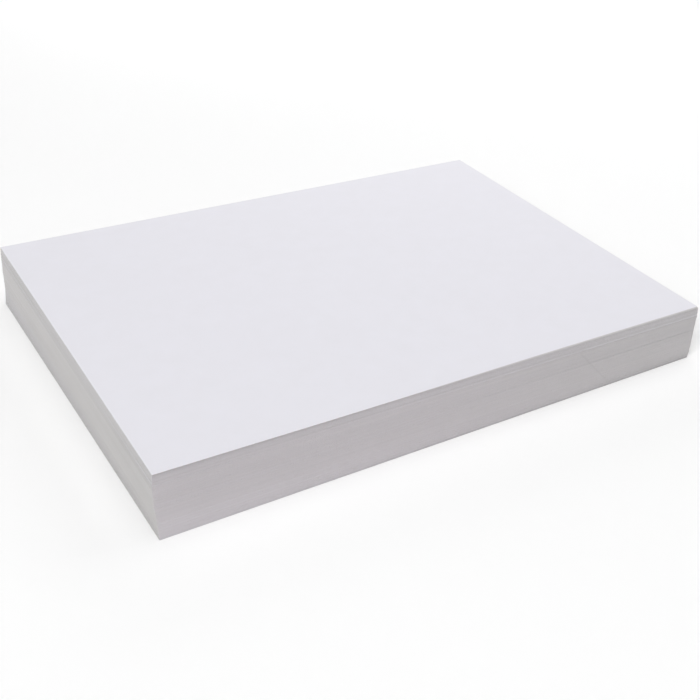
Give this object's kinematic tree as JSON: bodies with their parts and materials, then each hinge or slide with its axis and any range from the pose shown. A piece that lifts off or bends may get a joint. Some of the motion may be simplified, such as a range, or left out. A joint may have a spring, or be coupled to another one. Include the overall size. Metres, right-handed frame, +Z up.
{
  "type": "pack of cardstock",
  "caption": "Unwrapped pack of plain white A4 card: a straight-cut stack of loose sheets, squared up by hand, that lies flat.",
  "frame": {"origin": "middle of the ground that the pack covers, on the surface it stands on", "axes": "+X along the sheets' 297 mm side, +Y along their 210 mm side, +Z up through the sheets' thickness"},
  "size_m": [0.2992, 0.2142, 0.0313],
  "materials": {
    "card": "smooth uncoated white card, matt, guillotined edges"
  },
  "bodies": {
    "root": {"sheets_001_002": "card", "sheets_003_004": "card", "sheets_005_006": "card", "sheets_007_008": "card", "sheets_009_010": "card", "sheets_011_012": "card", "sheets_013_014": "card", "sheets_015_016": "card", "sheets_017_018": "card", "sheets_019_020": "card", "sheets_021_022": "card", "sheets_023_024": "card", "sheets_025_026": "card", "sheets_027_028": "card", "sheets_029_030": "card", "sheets_031_032": "card", "sheets_033_034": "card", "sheets_035_036": "card", "sheets_037_038": "card", "sheets_039_040": "card", "sheets_041_042": "card", "sheets_043_044": "card", "sheets_045_046": "card", "sheets_047_048": "card", "sheets_049_050": "card", "sheets_051_052": "card", "sheets_053_054": "card", "sheets_055_056": "card", "sheets_057_058": "card", "sheets_059_060": "card", "sheets_061_062": "card", "sheets_063_064": "card", "sheets_065_066": "card", "sheets_067_068": "card", "sheets_069_070": "card", "sheets_071_072": "card", "sheets_073_074": "card", "sheets_075_076": "card", "sheets_077_078": "card", "sheets_079_080": "card", "sheets_081_082": "card", "sheets_083_084": "card", "sheets_085_086": "card", "sheets_087_088": "card", "sheets_089_090": "card", "sheets_091_092": "card", "sheets_093_094": "card", "sheets_095_096": "card", "sheets_097_098": "card", "sheets_099_100": "card"}
  },
  "joints": []
}
